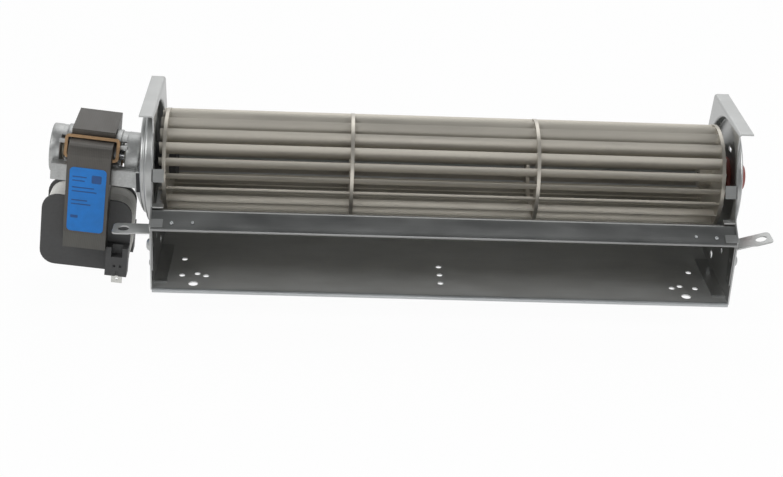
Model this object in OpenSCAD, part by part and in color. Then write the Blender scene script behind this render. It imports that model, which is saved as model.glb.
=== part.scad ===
// Range blower: a long bladed impeller in a sheet metal housing with a flat air duct,
// turned by a small motor that hangs on rubber at the left end.
// Millimetres. X runs along the impeller towards the bearing end, Y to the back, Z up.
// The origin is on the underside of the duct floor, straight below the impeller's line.

/* [Housing] */
// clear width between the two end plates
duct_w = 328; // [260:1:360]
// thickness of the galvanised sheet
sheet_t = 0.8; // [0.6:0.05:0.9]
// height of the impeller's line above the duct floor's underside
axis_h = 55.6; // [54.5:0.1:57]
// inner radius of the drawn cup in each end plate
cup_r = 35; // [34:0.1:35.5]
// how far the left cup is drawn outwards
cup_left = 8; // [7:0.1:9]
// how far the right cup is drawn outwards
cup_right = 4; // [3.5:0.1:5]
// width of the flanges along the top
flange_w = 7.5; // [5:0.1:12]
// length of each side ear, from its end plate
ear_len = 21; // [17:0.5:28]
// radius of the hole in each ear
ear_hole_r = 3.2; // [2:0.1:3.6]
// radius of the small holes in the duct floor
floor_hole_r = 1.7; // [1.2:0.1:2]

/* [Impeller] */
// outer radius of the bladed part
fan_r = 30; // [28:0.1:30.4]
// number of blades
blades = 21; // [15:1:24]
// thickness of a blade
blade_t = 0.7; // [0.5:0.05:0.9]
// thickness of the end discs and support rings
disc_t = 2; // [1.5:0.1:2.5]
// radius of the stub shaft at the bearing end
stub_r = 2.5; // [2:0.1:3]

/* [Motor] */
// tilt of the hanging motor, left end up
tilt = 5.6; // [4:0.1:6]
// thickness of the lamination stack
stack = 24.5; // [20:0.5:25]
// radius of the rotor
rotor_r = 11; // [9.5:0.1:11.2]
// radius of the rotor shaft
shaft_r = 3; // [2.5:0.1:3.2]
// radius of the drums that hold the bearings
drum_r = 14; // [13:0.1:14.5]
// half height of the coil's flanges
coil_hz = 22.4; // [20:0.1:22.8]

/* [Fits] */
// radial clearance of shafts in their bearings
run_gap = 0.04; // [0.02:0.01:0.08]
// clearance round blades in their slots
slot_gap = 0.03; // [0.02:0.01:0.06]

/* [Hidden] */
t = sheet_t;
hw = duct_w / 2;
// front edge of the duct and height of the duct's side walls
front_y = -56;
// corner of the end plate's front edge
edge_top = [-29.5, axis_h + 29.2];
edge_low = [-46.5, axis_h - 8.3];
// tongue: low front edge, top fold, cut-off by the impeller
tg_low = [-57, axis_h - 19.0];
tg_top = [-46.5, axis_h - 10.4];
tg_cut = [-28.2, axis_h - 20.4];
tg_lip = [-29.2, axis_h - 24.4];
// scroll wall arcs, outer faces
arc1_r = 40;
arc2_r = 30;
arc1_c = [5, arc1_r];
arc2_c = [5 + arc1_r - arc2_r, arc1_r];
lip_a = 50;
// top flange plane, back end and front end
bend = 1;
flange_z = axis_h + cup_r + t + 0.8 + t + bend + 0.1;
flange_y0 = -28.7;
flange_y1 = 36;
// cup steps: left cup has two, right cup has one
cup_bend = 0.8;
cup_ro = cup_r + t + cup_bend;
cup2_r = cup_r - 1.4;
cup1_d = 3.4;
gate_r = 9;
rub_hole_r = 9;
// mid tab and its place along the sloped edge
edge_len = norm(edge_low - edge_top);
edge_dir = (edge_low - edge_top) / edge_len;
edge_ang = atan2(-edge_dir[1], -edge_dir[0]);
tg_ang = atan2(tg_top[1] - tg_low[1], tg_top[0] - tg_low[0]);
tg_len = norm(tg_top - tg_low);
// ears
ear_z = axis_h - 20.6;
ear_y0 = -57.6;
ear_y1 = -44.8;
// impeller stations along X
disc_x = hw - 4.9;
stub_end = 3;
ring_x = disc_x / 3;
fan_rim = fan_r + 0.6;
blade_ri = fan_r - 7.2;
// blade arc: leaves the inner edge square and meets the rim at 26 degrees
blade_rho = (fan_r * fan_r - blade_ri * blade_ri) / (2 * fan_r * cos(26));
blade_rc = sqrt(blade_ri * blade_ri + blade_rho * blade_rho);
blade_ca = atan(blade_rho / blade_ri);
// joint between motor and impeller
pivot = [-(hw - 4), 0, axis_h];
ball_r = 5;
hub_r = 9;
hub_lip = 11;
// motor stations along its own shaft, from the middle of the stack
core_s = -42.2;
hs = stack / 2;
bore_r = rotor_r + 0.25;
drum_l0 = -24.1;
drum_l1 = -18;
drum_r0 = 18.8;
drum_r1 = 27;
bush_r = 5;
// core section
leg_out = 23.5;
leg_in = 12.5;
leg_bot = -41.8;
top_z = 16.6;
step_z = 11.8;
notch_y = -8.6;
pole_z = -16.5;
// yoke and coil
yoke_z0 = -51.8;
yoke_z1 = leg_bot;
coil_z = (yoke_z0 + yoke_z1) / 2;
fl_t = 1.5;
fl_s0 = -26.7;
fl_s1 = 25.4;
tube_t = 1;
screw_y = 16.5;
screw_z = -6.3;
screw_r = 2;
// bar of the brackets
bar_y0 = 13;
bar_y1 = 20;
bar_z0 = -11.3;
bar_z1 = -1.3;
// clips that hold the isolators
clip_x1 = -(hw + cup_left + t);
clip_x0 = clip_x1 - 3.8;
clip_y0 = drum_r + 0.4;
clip_y1 = clip_y0 + 7;
clip_z0 = axis_h - 12.1;
clip_z1 = axis_h + 1.4;
rivet_r = 1.5;

galv = [0.66, 0.69, 0.70];
steel = [0.55, 0.55, 0.56];

// points of a rectangle with rounded corners
function rr(x0, y0, x1, y1, r, n = 5) = concat(
  [for (i = [0:n]) [x1 - r + r * cos(90 * i / n), y1 - r + r * sin(90 * i / n)]],
  [for (i = [0:n]) [x0 + r + r * cos(90 + 90 * i / n), y1 - r + r * sin(90 + 90 * i / n)]],
  [for (i = [0:n]) [x0 + r + r * cos(180 + 90 * i / n), y0 + r + r * sin(180 + 90 * i / n)]],
  [for (i = [0:n]) [x1 - r + r * cos(270 + 90 * i / n), y0 + r + r * sin(270 + 90 * i / n)]]);

// unit vector, normal and mitred offset of an open line of points
function unit(v) = v / norm(v);
function nrm(v) = [-v[1], v[0]];
function off(p, i, d) =
  let (a = i > 0 ? unit(p[i] - p[i - 1]) : unit(p[1] - p[0]),
       b = i < len(p) - 1 ? unit(p[i + 1] - p[i]) : a,
       n = unit(nrm(a) + nrm(b)))
  p[i] + n * d / (n * nrm(a));
function strip(p, d) = concat(p, [for (i = [len(p) - 1:-1:0]) off(p, i, d)]);

// a profile drawn in Y and Z, given length along X from x0 to x1
module along_x(x0, x1) {
  translate([x0, 0, 0])
    rotate([90, 0, 90])
      linear_extrude(height = x1 - x0)
        children();
}

// a shape turned round the impeller's line, drawn as radius and X
module round_x() {
  translate([0, 0, axis_h])
    rotate([0, 90, 0])
      rotate_extrude($fn = 96)
        children();
}

module disc_x(x0, x1, r, f = 96) {
  translate([x0, 0, axis_h])
    rotate([0, 90, 0])
      cylinder(r = r, h = x1 - x0, $fn = f);
}

// the hanging motor's own frame: X along its shaft from the middle of the stack
module motor_pose() {
  translate(pivot)
    rotate([0, tilt, 0])
      translate([core_s, 0, 0])
        children();
}

module rod(s0, s1, r, y = 0, z = 0, f = 48) {
  translate([s0, y, z])
    rotate([0, 90, 0])
      cylinder(r = r, h = s1 - s0, $fn = f);
}

// end plates

module plate_outline() {
  union() {
    polygon([[front_y, 0], [5, 0], [arc1_c[0] + arc1_r + 1.2, arc1_r + 1.2], [45, axis_h - 3.6],
      [41.5, axis_h + 10.4], [flange_y1, flange_z - t - bend], [flange_y0, flange_z - t - bend],
      edge_top, edge_low, [-57, axis_h - 16.6], [front_y, axis_h - 19]]);
    intersection() {
      translate([arc1_c[0], arc1_r + 1.2])
        circle(r = arc1_r + 1.2, $fn = 96);
      translate([arc1_c[0], 0])
        square([60, arc1_r + 1.2]);
    }
  }
}

// the sheet's turned cup, from radius r0 at the centre hole out to the plate
module cup_shape(r0, steps) {
  // steps are inner radius and depth of each wall
  n = len(steps);
  for (i = [0:n - 1]) {
    r = steps[i][0];
    d0 = i == 0 ? 0 : steps[i - 1][1];
    d1 = steps[i][1];
    rin = i == n - 1 ? r0 : steps[i + 1][0] + t + cup_bend;
    // mouth bend
    intersection() {
      translate([r + t + cup_bend, d0 + t + cup_bend])
        difference() {
          circle(r = cup_bend + t, $fn = 48);
          circle(r = cup_bend, $fn = 48);
        }
      translate([r, d0])
        square([t + cup_bend, t + cup_bend]);
    }
    // wall
    translate([r, d0 + t + cup_bend])
      square([t, d1 - d0 - t - 2 * cup_bend]);
    // floor bend
    intersection() {
      translate([r - cup_bend, d1 - cup_bend])
        difference() {
          circle(r = cup_bend + t, $fn = 48);
          circle(r = cup_bend, $fn = 48);
        }
      translate([r - cup_bend, d1 - cup_bend])
        square([t + cup_bend, t + cup_bend]);
    }
    // floor
    translate([rin, d1])
      square([r - cup_bend - rin, t]);
  }
}

// tabs bent inwards from the plate; drawn for the right plate, inner face at hw
module inward_tabs() {
  // mid tab on the sloped edge
  translate([hw - 6, 0, 0])
    translate([0, edge_top[0] + edge_dir[0] * 24, edge_top[1] + edge_dir[1] * 24])
      rotate([edge_ang, 0, 0])
        translate([0, -3.7, -t])
          cube([6 + t, 7.4, t]);
  // tab that lies on the tongue
  translate([hw - 7, tg_low[0], tg_low[1]])
    rotate([tg_ang, 0, 0])
      translate([0, 1.2, t])
        cube([7 + t, tg_len - 4.4, t]);
  // foot that lies on the duct floor
  translate([hw - 7.5, front_y + 1.2, t])
    cube([7.5 + t, 54, t]);
}

module top_flange() {
  // drawn for the right plate: L shaped strip with a round bend
  translate([0, flange_y1, 0])
    rotate([90, 0, 0])
      linear_extrude(height = flange_y1 - flange_y0)
        intersection() {
          translate([hw + t + bend, flange_z - t - bend])
            difference() {
              circle(r = bend + t, $fn = 48);
              circle(r = bend, $fn = 48);
            }
          translate([hw, flange_z - t - bend])
            square([t + bend, t + bend]);
        }
  translate([0, 0, flange_z - t])
    linear_extrude(height = t)
      polygon([[hw + t + bend, flange_y0], [hw + t + flange_w - 0.6, flange_y0],
        [hw + t + flange_w, flange_y0 + 0.6], [hw + t + flange_w, flange_y1 - 1.6],
        [hw + t + flange_w - 0.5, flange_y1 - 0.5], [hw + t + flange_w - 1.6, flange_y1],
        [hw + t + bend, flange_y1]]);
}

module ear_flat() {
  // outline seen from above, rounded corners, with the screw hole
  x1 = ear_len;
  difference() {
    polygon([[0, ear_y0 + 1], [x1 * 0.45, ear_y0 + 1], [x1 * 0.55, ear_y0], [x1 - 1.6, ear_y0],
      [x1 - 0.5, ear_y0 + 0.5], [x1, ear_y0 + 1.6], [x1, ear_y1 - 2.4], [x1 - 0.7, ear_y1 - 0.7],
      [x1 - 2.4, ear_y1], [0, ear_y1]]);
    translate([x1 - 5.8, (ear_y0 + ear_y1) / 2])
      circle(r = ear_hole_r, $fn = 40);
  }
}

module plate_body(steps, hole) {
  difference() {
    union() {
      along_x(hw, hw + t)
        plate_outline();
      inward_tabs();
      top_flange();
    }
    disc_x(hw - 10, hw + t + 5, cup_ro);
    // small holes seen beside the tongue and in the duct's side
    translate([hw - 1, -52.2, axis_h - 27.5])
      rotate([0, 90, 0])
        cylinder(r = 1.7, h = t + 2, $fn = 24);
    translate([hw - 1, -52.2, axis_h - 38])
      rotate([0, 90, 0])
        cylinder(r = 1.7, h = t + 2, $fn = 24);
    translate([hw - 1, -7.5, axis_h - 47.5])
      rotate([0, 90, 0])
        cylinder(r = 2.4, h = t + 2, $fn = 24);
    translate([hw - 1, -28, axis_h - 35])
      rotate([0, 90, 0])
        cylinder(r = 1.6, h = t + 2, $fn = 24);
  }
  translate([hw, 0, 0])
    round_x()
      cup_shape(hole, steps);
}

module end_plate_right() {
  color(galv)
    difference() {
      union() {
        plate_body([[cup_r, cup_right]], rub_hole_r);
        // ear, bent up
        translate([hw + t / 2, 0, ear_z])
          rotate([0, -17, 0])
            linear_extrude(height = t)
              ear_flat();
      }
      // two slots in the cup floor
      translate([hw, -2.5, axis_h + 17])
        cube([cup_right + 3, 5, 6]);
      translate([hw, -2.5, axis_h - 23])
        cube([cup_right + 3, 5, 6]);
    }
}

module end_plate_left() {
  color(galv)
    mirror([1, 0, 0])
      difference() {
        union() {
          plate_body([[cup_r, cup1_d], [cup2_r, cup_left]], gate_r);
          translate([hw + t / 2, 0, ear_z])
            linear_extrude(height = t)
              ear_flat();
        }
        translate([hw, -2.5, axis_h + 17])
          cube([cup_left + 3, 5, 6]);
        translate([hw, -2.5, axis_h - 23])
          cube([cup_left + 3, 5, 6]);
        // holes for the rivets of the motor's clips
        for (s = [-1, 1])
          translate([hw + cup_left - 1, s * (clip_y0 + clip_y1) / 2, clip_z1 + 3])
            rotate([0, 90, 0])
              cylinder(r = rivet_r, h = t + 2, $fn = 24);
      }
}

// scroll and tongue

module scroll() {
  color(galv)
    difference() {
      along_x(-hw, hw)
        union() {
          // duct floor
          translate([front_y, 0])
            square([arc1_c[0] - front_y, t]);
          // folded front lip
          translate([front_y - t, -1.2])
            square([t, t + 1.2]);
          // back wall, first arc
          intersection() {
            translate(arc1_c)
              difference() {
                circle(r = arc1_r, $fn = 128);
                circle(r = arc1_r - t, $fn = 128);
              }
            translate([arc1_c[0], 0])
              square([60, arc1_r]);
          }
          // back wall, second arc
          intersection() {
            translate(arc2_c)
              difference() {
                circle(r = arc2_r, $fn = 96);
                circle(r = arc2_r - t, $fn = 96);
              }
            translate(arc2_c)
              polygon([[0, 0], [60, 0], [60, 60 * tan(lip_a)]]);
          }
          // outward lip at the end of the wall
          translate([arc2_c[0] + arc2_r * cos(lip_a) - 0.6, arc2_c[1] + arc2_r * sin(lip_a) - t])
            square([7.5, t]);
        }
      // holes in the floor, the same at both ends
      for (s = [-1, 1]) {
        for (p = [[149, -18.3], [148.7, -38.7], [140.1, -36.3], [135, -38.8]])
          translate([s * p[0] * duct_w / 328, p[1], -1])
            cylinder(r = floor_hole_r, h = t + 2, $fn = 32);
        translate([s * 141.5 * duct_w / 328, -48.7, -1])
          cylinder(r = floor_hole_r + 1, h = t + 2, $fn = 32);
      }
      for (y = [-19.7, -30, -40.3])
        translate([0, y, -1])
          cylinder(r = floor_hole_r, h = t + 2, $fn = 32);
    }
}

module tongue() {
  color(galv)
    difference() {
      union() {
        along_x(-hw, hw)
          polygon(strip([tg_low + [0.6, -1.1], tg_low, tg_top, tg_cut, tg_lip], t));
        // end flaps that lie against the end plates, under the slope
        for (s = [0, 1])
          mirror([s, 0, 0])
            along_x(hw - t, hw)
              polygon([tg_low + [0.8, 0.9], tg_top + [0, 0.3], tg_top + [3, -1.4],
                [-48, axis_h - 41], [-55.4, axis_h - 41], [-55.4, axis_h - 20.4]]);
        // stiffening darts near both ends
        for (s = [-1, 1])
          translate([s * (hw - 22), tg_low[0], tg_low[1]])
            rotate([tg_ang, 0, 0])
              translate([-1.2, 0.4, t - 0.1])
                cube([2.4, 4.5, 0.7]);
      }
      // rivet holes in the flaps
      for (z = [axis_h - 27.5, axis_h - 38])
        translate([-hw - 1, -52.2, z])
          rotate([0, 90, 0])
            cylinder(r = 1.7, h = 2 * hw + 2, $fn = 24);
    }
}

module plate_rivets() {
  color(steel)
    for (m = [0, 1])
      mirror([m, 0, 0])
        for (z = [axis_h - 27.5, axis_h - 38])
          translate([0, -52.2, z])
            rotate([0, 90, 0]) {
              translate([0, 0, hw - t])
                cylinder(r = 1.7, h = 2 * t, $fn = 24);
              translate([0, 0, hw + t])
                cylinder(r1 = 3, r2 = 2.2, h = 1.3, $fn = 32);
              translate([0, 0, hw - t - 0.6])
                cylinder(r = 2.5, h = 0.6, $fn = 32);
            }
}

// impeller

// section of one blade: w is added all round for its slot
module blade_2d(w) {
  a0 = 0;
  a1 = acos((blade_rc * blade_rc + blade_rho * blade_rho - fan_r * fan_r) / (2 * blade_rc * blade_rho));
  ai = acos((blade_rc * blade_rc + blade_rho * blade_rho - blade_ri * blade_ri) / (2 * blade_rc * blade_rho));
  // angles are measured at the arc's centre, from the line towards the impeller's middle
  n = 5;
  h = blade_t / 2 + w;
  e = w / blade_rho * 57.3;
  rotate(blade_ca)
    translate([blade_rc, 0])
      polygon(concat(
        [for (i = [0:n]) let (a = 180 - (ai - e + (a1 - ai + 2 * e) * i / n)) (blade_rho + h) * [cos(a), sin(a)]],
        [for (i = [n:-1:0]) let (a = 180 - (ai - e + (a1 - ai + 2 * e) * i / n)) (blade_rho - h) * [cos(a), sin(a)]]));
}

// a drawing in the fan's own plane, given length along X
module fan_x(x0, x1) {
  translate([x0, 0, axis_h])
    rotate([90, 0, 90])
      linear_extrude(height = x1 - x0)
        children();
}

// first blade's place, so one blade points at the front as in the picture
blade_0 = 154.4 + 9.4;

module blade_set(w) {
  for (i = [0:blades - 1])
    rotate(blade_0 + 360 * i / blades)
      blade_2d(w);
}

module blades() {
  color([0.70, 0.68, 0.63])
    fan_x(-disc_x - stub_end, disc_x + stub_end)
      blade_set(0);
}

module rim_disc(x, ri) {
  fan_x(x - disc_t / 2, x + disc_t / 2)
    difference() {
      circle(r = fan_rim, $fn = 96);
      circle(r = ri, $fn = 64);
      blade_set(slot_gap);
    }
}

module support_rings() {
  color([0.72, 0.71, 0.67]) {
    rim_disc(-ring_x, blade_ri - 3);
    rim_disc(ring_x, blade_ri - 3);
  }
}

module drive_disc() {
  color([0.72, 0.71, 0.67])
    rim_disc(-disc_x, hub_r);
}

module bearing_disc() {
  color([0.72, 0.71, 0.67]) {
    rim_disc(disc_x, stub_r);
    difference() {
      disc_x(disc_x - disc_t / 2 - 7, disc_x - disc_t / 2, 6, 48);
      disc_x(disc_x - disc_t / 2 - 8, disc_x, stub_r, 48);
    }
  }
}

module stub_shaft() {
  color([0.80, 0.80, 0.82])
    disc_x(disc_x - disc_t / 2 - 7, hw + 10, stub_r, 48);
}

module drive_hub() {
  color([0.13, 0.13, 0.13])
    translate([0, 0, axis_h])
      difference() {
        union() {
          rotate([0, 90, 0])
            translate([0, 0, -disc_x - disc_t / 2])
              cylinder(r = hub_r, h = disc_t, $fn = 64);
          rotate([0, 90, 0])
            translate([0, 0, -disc_x + disc_t / 2])
              cylinder(r = hub_lip, h = 4, $fn = 64);
          rotate([0, 90, 0])
            translate([0, 0, -disc_x - disc_t / 2 - 6])
              cylinder(r = hub_lip, h = 6, $fn = 64);
        }
        translate([pivot[0], 0, 0])
          sphere(r = ball_r + run_gap, $fn = 64);
        // mouth, wide enough for the tilted shaft
        translate([pivot[0] - 12, 0, 0])
          rotate([0, 90, 0])
            cylinder(r = shaft_r + 1.2, h = 12, $fn = 48);
      }
}

module drive_ball() {
  color([0.72, 0.60, 0.32])
    translate(pivot)
      rotate([0, tilt, 0])
        rotate([0, 90, 0])
          rotate_extrude($fn = 64)
            difference() {
              circle(r = ball_r, $fn = 64);
              translate([-10, -10])
                square([10 + shaft_r, 20]);
            }
}

// bearing at the right end

module bearing_rubber() {
  color([0.50, 0.16, 0.13])
    translate([hw, 0, 0])
      round_x()
        polygon([[5, cup_right - 2], [7, cup_right - 3], [12, cup_right - 3], [13, cup_right - 2.2],
          [13, cup_right], [rub_hole_r, cup_right], [rub_hole_r, cup_right + t],
          [11.5, cup_right + t], [11.5, cup_right + t + 1.6], [10, cup_right + t + 3.4],
          [7, cup_right + t + 4.4], [5, cup_right + t + 4.4]]);
}

module bearing_sleeve() {
  color([0.60, 0.47, 0.30])
    difference() {
      disc_x(hw + cup_right - 4, hw + 8.8, 5, 64);
      disc_x(hw - 2, hw + 12, stub_r + run_gap, 64);
    }
}

// motor core, in the motor's own frame

module core_outline() {
  difference() {
    polygon(concat(
      [[notch_y, top_z], [leg_out, top_z], [leg_out, leg_bot], [leg_in, leg_bot], [leg_in, pole_z - 2],
        [leg_in - 2, pole_z], [-leg_in + 2, pole_z], [-leg_in, pole_z - 2], [-leg_in, leg_bot], [-leg_out, leg_bot]],
      [for (i = [0:6]) [-leg_out + 7 - 7 * cos(15 * i), step_z - 7 + 7 * sin(15 * i)]],
      [[notch_y - 1, step_z], [notch_y, step_z + 1.2]]));
    circle(r = bore_r, $fn = 96);
    for (s = [-1, 1])
      translate([s * screw_y, screw_z])
        circle(r = screw_r + 0.1, $fn = 32);
    // slots of the two shading rings
    for (m = [0, 1])
      rotate(180 * m)
        shade_place()
          for (e = [-1, 1])
            translate([e * shade_half, 0])
              square([shade_w + 0.06, shade_w + 0.06], center = true);
  }
}

shade_w = 2.2;
shade_half = 6.2;
// middle of the front shading ring and its lean, drawn in Y and Z
module shade_place() {
  translate([-11.9, 6.9])
    rotate(68)
      children();
}

module core_frame() {
  color([0.36, 0.36, 0.34])
    motor_pose()
      along_x(-hs, hs)
        core_outline();
}

module core_yoke() {
  color([0.40, 0.39, 0.36])
    motor_pose()
      translate([-hs, -leg_out + 0.9, yoke_z0])
        cube([stack, 2 * leg_out - 1.8, yoke_z1 - yoke_z0]);
}

// one shading ring: a square wire loop through two slots
module shading_loop() {
  w = shade_w;
  ho = shade_half + w / 2;
  lo = hs + w + 0.3;
  // ring drawn flat: X along the shaft, Y across the slots
  difference() {
    translate([-lo, -ho, -w / 2])
      cube([2 * lo, 2 * ho, w]);
    translate([-lo + w, -ho + w, -w])
      cube([2 * lo - 2 * w, 2 * ho - 2 * w, 2 * w]);
  }
}

module shading_rings() {
  color([0.78, 0.48, 0.28])
    motor_pose()
      for (m = [0, 1])
        rotate([180 * m, 0, 0])
          translate([0, -11.9, 6.9])
            rotate([68, 0, 0])
              shading_loop();
}

// coil

module fl_outline(r) {
  polygon(rr(fl_s0, coil_z - coil_hz, fl_s1, coil_z + coil_hz, r, 7));
}

// a drawing in X and Z, given depth along Y from y0 to y1
module along_y(y0, y1) {
  translate([0, y1, 0])
    rotate([90, 0, 0])
      linear_extrude(height = y1 - y0)
        children();
}

module yoke_hole() {
  translate([-hs, -40, yoke_z0])
    cube([stack, 80, yoke_z1 - yoke_z0]);
}

block_x0 = hs + 0.4;
block_z0 = coil_z - coil_hz + 0.4;
block_y = leg_in + 8;
tab_s = 19.7;

module block_half() {
  // terminal block on a flange, drawn for the back; open slot for the terminal
  difference() {
    translate([block_x0, leg_in - 0.1, block_z0])
      cube([fl_s1 - block_x0, block_y - leg_in + 0.1, 18.5]);
    // recess above
    translate([block_x0 + 3.2, leg_in + 3, block_z0 + 12.5])
      cube([fl_s1 - block_x0 - 6.4, 8, 8]);
    // slot that holds the terminal
    translate([tab_s - 3.275, block_y - 3.4, block_z0 - 1])
      cube([6.55, 0.9, 10.5]);
    // notch and two square holes on the face
    translate([tab_s - 1, block_y - 0.8, block_z0 - 1])
      cube([2, 2, 4]);
    for (e = [-1, 1])
      translate([tab_s + 1.8 * e - 0.7, block_y - 1, block_z0 + 6])
        cube([1.4, 2, 1.4]);
  }
}

module bobbin() {
  color([0.24, 0.24, 0.24])
    motor_pose()
      difference() {
        union() {
          along_y(-leg_in, -leg_in + fl_t)
            fl_outline(9);
          along_y(leg_in - fl_t, leg_in)
            fl_outline(9);
          translate([-hs - tube_t, -leg_in, yoke_z0 - tube_t])
            cube([stack + 2 * tube_t, 2 * leg_in, yoke_z1 - yoke_z0 + 2 * tube_t]);
          block_half();
          mirror([0, 1, 0])
            block_half();
        }
        yoke_hole();
      }
}

module winding() {
  color([0.72, 0.42, 0.22])
    motor_pose()
      difference() {
        along_y(-leg_in + fl_t, leg_in - fl_t)
          polygon(rr(fl_s0 + 2.4, coil_z - coil_hz + 2.4, fl_s1 - 2.4, coil_z + coil_hz - 2.4, 8, 6));
        translate([-hs - tube_t, -20, yoke_z0 - tube_t])
          cube([stack + 2 * tube_t, 40, yoke_z1 - yoke_z0 + 2 * tube_t]);
      }
}

module coil_tape() {
  color([0.88, 0.87, 0.84])
    motor_pose()
      difference() {
        along_y(-leg_in + fl_t, leg_in - fl_t)
          polygon(rr(fl_s0 + 1.5, coil_z - coil_hz + 1.5, fl_s1 - 1.5, coil_z + coil_hz - 1.5, 8.9, 6));
        along_y(-20, 20)
          polygon(rr(fl_s0 + 2.4, coil_z - coil_hz + 2.4, fl_s1 - 2.4, coil_z + coil_hz - 2.4, 8, 6));
      }
}

module terminals() {
  color([0.80, 0.80, 0.78])
    motor_pose()
      for (m = [0, 1])
        mirror([0, m, 0])
          translate([tab_s - 3.175, block_y - 3.35, block_z0 - 5.6])
            difference() {
              cube([6.35, 0.8, 14]);
              translate([3.175, 2, 2.6])
                rotate([90, 0, 0])
                  cylinder(r = 0.8, h = 4, $fn = 20);
            }
}

module label() {
  color([0.11, 0.47, 0.80])
    motor_pose()
      translate([0, -leg_out, 0])
        rotate([90, 0, 0])
          linear_extrude(height = 0.15)
            polygon(rr(-10.4, -40.6, 10.4, -0.6, 2.4, 4));
}

// bearing brackets

// room for the shading rings where they stand out of the core
module shade_room() {
  lo = hs + shade_w + 0.6;
  ho = shade_half + shade_w / 2 + 0.3;
  for (m = [0, 1])
    rotate([180 * m, 0, 0])
      translate([0, -11.9, 6.9])
        rotate([68, 0, 0])
          translate([-lo, -ho, -shade_w / 2 - 0.3])
            cube([2 * lo, 2 * ho, shade_w + 0.6]);
}

// gaps in the base ring beside the shading rings, drawn in Y and Z
module shade_gap() {
  for (m = [0, 1])
    rotate(180 * m)
      shade_place()
        translate([-shade_half - shade_w / 2 - 0.5, -shade_w / 2 - 1.8])
          square([2 * shade_half + shade_w + 1, 10]);
}

module bracket_body(s0, s1, d0, d1) {
  // s0 to s1 is the base ring at the core, d0 to d1 the drum
  lo = min(s0, d0);
  hi = max(s1, d1);
  difference() {
    union() {
      along_x(s0, s1)
        difference() {
          circle(r = rotor_r + 4.8, $fn = 64);
          circle(r = rotor_r + 1, $fn = 64);
          shade_gap();
        }
      rod(d0, d1, drum_r, 0, 0, 64);
      // two bars with the screws in them
      for (e = [-1, 1])
        translate([lo, e > 0 ? bar_y0 : -bar_y1, bar_z0])
          cube([hi - lo, bar_y1 - bar_y0, bar_z1 - bar_z0]);
      // web at the top and a rib on the front
      translate([lo, -3, rotor_r + 1.2])
        cube([hi - lo, 6, 1.6]);
      translate([min(s1, d1) - 1, -11.4, 8])
        cube([max(s0, d0) - min(s1, d1) + 2, 3, 2]);
    }
    shade_room();
    rod(d0 - 1, d1 + 1, bush_r);
  }
}

module felt_room(d0, d1) {
  difference() {
    rod(d0, d1, 9.5);
    rod(d0 - 1, d1 + 1, bush_r);
  }
}

module bracket_left() {
  color([0.68, 0.68, 0.67])
    motor_pose()
      difference() {
        bracket_body(-hs - 3, -hs, drum_l0, drum_l1);
        felt_room(drum_l1 - 3.6, drum_l1 + 1);
        for (e = [-1, 1])
          rod(drum_l0 - 1, 0, screw_r + 0.1, e * screw_y, screw_z, 32);
      }
}

module bracket_right() {
  color([0.68, 0.68, 0.67])
    difference() {
      motor_pose()
        difference() {
          union() {
            bracket_body(hs, hs + 3.5, drum_r0, drum_r1);
            for (e = [-1, 1])
              translate([drum_r1 - 4, e > 0 ? bar_y0 : -bar_y1, bar_z0])
                cube([8, bar_y1 - bar_y0, bar_z1 - bar_z0]);
          }
          felt_room(drum_r0 - 1, drum_r0 + 3.6);
          for (e = [-1, 1])
            rod(0, drum_r0 + 3, screw_r + 0.1, e * screw_y, screw_z, 32);
        }
      // the bars end square against the clips
      for (e = [-1, 1])
        translate([clip_x0, e > 0 ? bar_y0 - 0.2 : -bar_y0 - 29.8, axis_h - 40])
          cube([30, 30, 80]);
    }
}

module motor_bearings() {
  color([0.60, 0.47, 0.30])
    motor_pose()
      difference() {
        union() {
          rod(drum_l0 + 0.4, drum_l1, bush_r);
          rod(drum_r0, drum_r1 - 0.4, bush_r);
        }
        rod(drum_l0 - 2, drum_r1 + 2, shaft_r + run_gap);
      }
}

module oil_felts() {
  color([0.85, 0.83, 0.76])
    motor_pose() {
      felt_room(drum_l1 - 3.6, drum_l1);
      felt_room(drum_r0, drum_r0 + 3.6);
    }
}

module through_screws() {
  color([0.74, 0.74, 0.72])
    motor_pose()
      for (e = [-1, 1]) {
        rod(drum_l0, drum_r0 + 2.6, screw_r, e * screw_y, screw_z, 32);
        rod(drum_l0 - 2.2, drum_l0, 3.4, e * screw_y, screw_z, 32);
      }
}

// rotor

module rotor_core() {
  color([0.45, 0.45, 0.46])
    motor_pose()
      difference() {
        rod(-hs, hs, rotor_r, 0, 0, 96);
        rod(-hs - 1, hs + 1, shaft_r);
      }
}

module rotor_cage() {
  color([0.75, 0.75, 0.76])
    motor_pose()
      for (e = [-1, 1])
        difference() {
          rod(e > 0 ? hs : -hs - 2.6, e > 0 ? hs + 2.6 : -hs, rotor_r - 0.6, 0, 0, 64);
          rod(-hs - 4, hs + 4, rotor_r - 4, 0, 0, 64);
        }
}

module rotor_shaft() {
  color([0.82, 0.82, 0.84])
    motor_pose()
      rod(drum_l0 - 1.4, -core_s + sqrt(ball_r * ball_r - shaft_r * shaft_r) - 0.1, shaft_r);
}

module thrust_washers() {
  color([0.90, 0.88, 0.80])
    motor_pose()
      for (e = [-1, 1])
        difference() {
          rod(e > 0 ? drum_r0 - 1.1 : drum_l1 + 0.1, e > 0 ? drum_r0 - 0.1 : drum_l1 + 1.1, shaft_r + 2.4);
          rod(-hs - 12, hs + 12, shaft_r);
        }
}

// clips and isolators that carry the motor

module clip_frame(s) {
  // loop of strip seen from the front, on the front side for s = -1
  y0 = s > 0 ? clip_y0 : -clip_y1;
  translate([0, y0, 0])
    children();
}

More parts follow.
